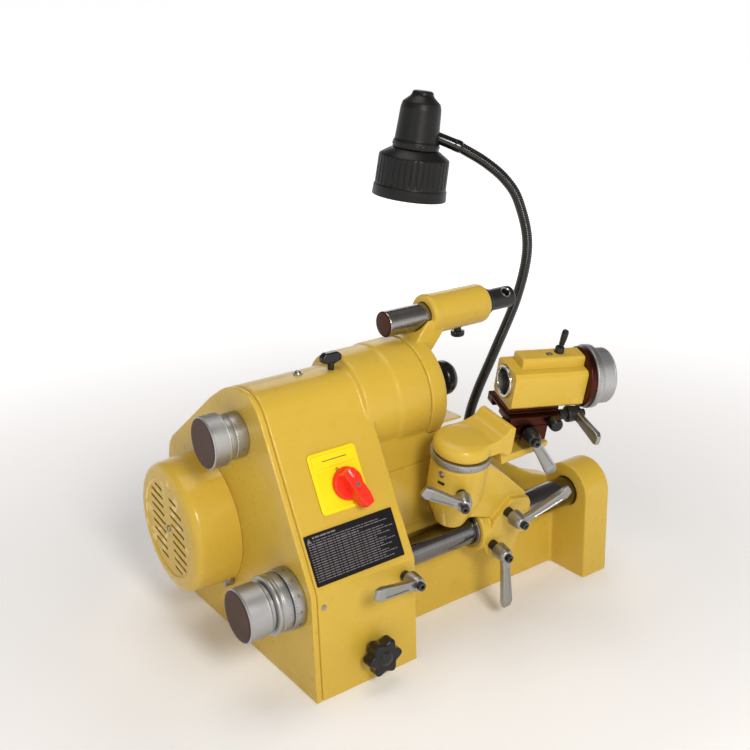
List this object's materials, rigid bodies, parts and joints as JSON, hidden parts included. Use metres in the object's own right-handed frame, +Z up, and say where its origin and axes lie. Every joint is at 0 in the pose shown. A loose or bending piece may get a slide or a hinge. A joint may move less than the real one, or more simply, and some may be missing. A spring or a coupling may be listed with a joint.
{
  "type": "bench tool and drill grinder",
  "caption": "Bench drill and tool grinder: cast housing with belt-driven spindle, guarded cup wheel and dresser, swivelling indexable workhead on a slide bar, feed knobs and gooseneck lamp.",
  "frame": {"origin": "on the flat underside of the bed, near the middle of its footprint", "axes": "+X from the motor end to the end pillar, +Y from the front panel to the back, +Z up"},
  "size_m": [0.4617, 0.3525, 0.5278],
  "materials": {
    "paint": "gloss enamel over a filled casting",
    "motor_iron": "as cast, painted grey",
    "steel": "turned and ground",
    "chrome": "hard chromed and polished",
    "aluminium": "satin, knurled where gripped",
    "blackened": "blackened, dark brown sheen",
    "black_plastic": "moulded, fine grain",
    "rubber": "matt",
    "abrasive": "open grained vitrified abrasive",
    "red_plastic": "moulded",
    "yellow_plate": "moulded, printed",
    "label": "printed foil",
    "glass": "frosted"
  },
  "bodies": {
    "machine_frame": {"bed_casting": "paint", "end_cover": "paint", "guard_cover": "paint", "spark_deflector": "paint", "wall_cover": "paint", "motor_body": "motor_iron", "fan_cowl": "paint", "oil_cup": "steel", "label_plate": "label", "switch_plate": "yellow_plate", "upper_sleeve": "aluminium", "lower_fixed_ring": "aluminium", "lamp_base": "black_plastic", "gooseneck": "rubber", "lamp_coupling": "black_plastic", "drive_belt": "rubber"},
    "motor_rotor": {"motor_shaft": "steel", "cooling_fan": "black_plastic", "motor_pulley": "steel"},
    "spindle_quill": {"quill": "steel"},
    "wheel_spindle": {"spindle": "steel", "spindle_pulley": "steel", "wheel_flange": "steel", "grinding_wheel": "abrasive", "wheel_nut": "steel", "arbor_cap": "black_plastic"},
    "wheel_feed_knob": {"upper_knob": "aluminium"},
    "bar_feed_knob": {"lower_knob": "aluminium"},
    "bar_feed_dial": {"lower_dial": "aluminium"},
    "bar": {"slide_bar": "chrome"},
    "bush": {"bracket_bush": "steel"},
    "bracket": {"swivel_bracket": "paint", "boss_ring": "aluminium"},
    "arm": {"swivel_arm": "paint"},
    "tilt": {"tilt_base": "blackened"},
    "workhead": {"dovetail_slide": "blackened", "workhead_body": "paint", "index_flange": "blackened"},
    "work_spindle": {"collet_sleeve": "steel", "index_dial": "aluminium", "hand_knob": "aluminium"},
    "index_catch": {"index_lever": "black_plastic"},
    "slide_stop": {"slide_screw": "blackened"},
    "bar_lock": {"bar_lock_lever": "aluminium"},
    "boss_lock": {"boss_lever": "aluminium"},
    "swing_lock": {"flange_upper_lever": "aluminium"},
    "bracket_lock": {"flange_lower_lever": "aluminium"},
    "tilt_lock": {"tilt_lever": "aluminium"},
    "slide_lock": {"slide_lever": "aluminium"},
    "front_star": {"star_knob": "black_plastic"},
    "top_thumb": {"top_thumb_knob": "black_plastic"},
    "power_switch": {"switch_knob": "red_plastic"},
    "dresser": {"dresser_bar": "steel", "diamond_holder": "blackened", "diamond_tool": "steel"},
    "dresser_clamp": {"dresser_screw": "blackened"},
    "lamp_head": {"lamp_housing": "black_plastic", "lamp_shade": "black_plastic", "lamp_bulb": "glass"}
  },
  "joints": [
    {"name": "motor_spin", "type": "hinge", "parent": "machine_frame", "child": "motor_rotor", "pos_m": [-0.2, 0.0652, 0.119], "axis": [1, 0, 0], "continuous": true},
    {"name": "quill_travel", "type": "slide", "parent": "machine_frame", "child": "spindle_quill", "axis": [1, 0, 0], "range_m": [-0.002, 0.002]},
    {"name": "wheel_spin", "type": "hinge", "parent": "spindle_quill", "child": "wheel_spindle", "pos_m": [-0.2, -0.0136, 0.2345], "axis": [1, 0, 0], "continuous": true},
    {"name": "wheel_feed_turn", "type": "hinge", "parent": "machine_frame", "child": "wheel_feed_knob", "pos_m": [-0.2, -0.0136, 0.2345], "axis": [1, 0, 0], "range_deg": [-360, 360]},
    {"name": "bar_feed_turn", "type": "hinge", "parent": "machine_frame", "child": "bar_feed_knob", "pos_m": [-0.2, -0.093, 0.097], "axis": [1, 0, 0], "range_deg": [-360, 360]},
    {"name": "dial_zero", "type": "hinge", "parent": "bar_feed_knob", "child": "bar_feed_dial", "pos_m": [-0.2, -0.093, 0.097], "axis": [1, 0, 0], "range_deg": [-180, 180]},
    {"name": "bar_travel", "type": "slide", "parent": "machine_frame", "child": "bar", "axis": [1, 0, 0], "range_m": [-0.004, 0.004]},
    {"name": "bracket_travel", "type": "slide", "parent": "bar", "child": "bush", "axis": [1, 0, 0], "range_m": [-0.03, 0.06]},
    {"name": "bracket_swing", "type": "hinge", "parent": "bush", "child": "bracket", "pos_m": [-0.013, -0.093, 0.097], "axis": [1, 0, 0], "range_deg": [-8, 12]},
    {"name": "arm_swivel", "type": "hinge", "parent": "bracket", "child": "arm", "pos_m": [-0.013, -0.1155, 0.19444], "axis": [0, -0.225, 0.9744], "range_deg": [-30, 15]},
    {"name": "head_tilt", "type": "hinge", "parent": "arm", "child": "tilt", "pos_m": [0.033, -0.12104, 0.20958], "axis": [1, 0, 0], "range_deg": [-20, 20]},
    {"name": "head_slide", "type": "slide", "parent": "tilt", "child": "workhead", "axis": [0.9483, -0.3092, -0.0714], "range_m": [-0.003, 0.012]},
    {"name": "work_index", "type": "hinge", "parent": "workhead", "child": "work_spindle", "pos_m": [0.08563, -0.12528, 0.25376], "axis": [0.9483, -0.3092, -0.0714], "continuous": true},
    {"name": "index_catch_turn", "type": "hinge", "parent": "workhead", "child": "index_catch", "pos_m": [0.10081, -0.13352, 0.2809], "axis": [0, -0.225, 0.9744], "range_deg": [-25, 25]},
    {"name": "slide_stop_turn", "type": "hinge", "parent": "workhead", "child": "slide_stop", "pos_m": [0.08092, -0.14572, 0.21661], "axis": [-0.3173, -0.924, -0.2133], "continuous": true},
    {"name": "bar_lock_turn", "type": "hinge", "parent": "machine_frame", "child": "bar_lock", "pos_m": [-0.096, -0.1303, 0.098], "axis": [0, -1, 0], "range_deg": [-40, 60]},
    {"name": "boss_lock_turn", "type": "hinge", "parent": "bracket", "child": "boss_lock", "pos_m": [-0.02786, -0.13402, 0.1645], "axis": [-0.5141, -0.8357, -0.1929], "range_deg": [-30, 30]},
    {"name": "swing_lock_turn", "type": "hinge", "parent": "bracket", "child": "swing_lock", "pos_m": [0.0415, -0.12419, 0.12008], "axis": [0, -0.9744, -0.225], "range_deg": [-35, 4]},
    {"name": "bracket_lock_turn", "type": "hinge", "parent": "bracket", "child": "bracket_lock", "pos_m": [0.0285, -0.11575, 0.08354], "axis": [0, -0.9744, -0.225], "range_deg": [-30, 30]},
    {"name": "tilt_lock_turn", "type": "hinge", "parent": "tilt", "child": "tilt_lock", "pos_m": [0.05826, -0.13549, 0.20604], "axis": [-0.3173, -0.924, -0.2133], "range_deg": [-35, 10]},
    {"name": "slide_lock_turn", "type": "hinge", "parent": "workhead", "child": "slide_lock", "pos_m": [0.09364, -0.14203, 0.21828], "axis": [0.9483, -0.3092, -0.0714], "range_deg": [-15, 40]},
    {"name": "front_star_turn", "type": "hinge", "parent": "machine_frame", "child": "front_star", "pos_m": [-0.134, -0.1303, 0.032], "axis": [0, -1, 0], "continuous": true},
    {"name": "top_thumb_turn", "type": "hinge", "parent": "machine_frame", "child": "top_thumb", "pos_m": [-0.101, -0.026, 0.2794], "axis": [0, 0, 1], "range_deg": [-60, 60]},
    {"name": "switch_turn", "type": "hinge", "parent": "machine_frame", "child": "power_switch", "pos_m": [-0.133, -0.09174, 0.19093], "axis": [0, -0.8981, 0.4398], "range_deg": [0, 60]},
    {"name": "dresser_swing", "type": "hinge", "parent": "machine_frame", "child": "dresser", "pos_m": [0, -0.018, 0.31], "axis": [1, 0, 0], "range_deg": [-45, 45]},
    {"name": "dresser_clamp_turn", "type": "hinge", "parent": "machine_frame", "child": "dresser_clamp", "pos_m": [0.066, -0.018, 0.28], "axis": [0, 0, 1], "range_deg": [-90, 90]},
    {"name": "lamp_tilt", "type": "hinge", "parent": "machine_frame", "child": "lamp_head", "pos_m": [0.12145, 0.0731, 0.474], "axis": [0.7415, -0.5328, -0.4078], "range_deg": [-25, 25]}
  ],
  "couplings": [
    {"joint": "motor_spin", "follows": "wheel_spin", "ratio": 0.53869},
    {"joint": "wheel_feed_turn", "follows": "quill_travel", "rad_per_m": 3141.6},
    {"joint": "bar_feed_turn", "follows": "bar_travel", "rad_per_m": 1570.8}
  ]
}
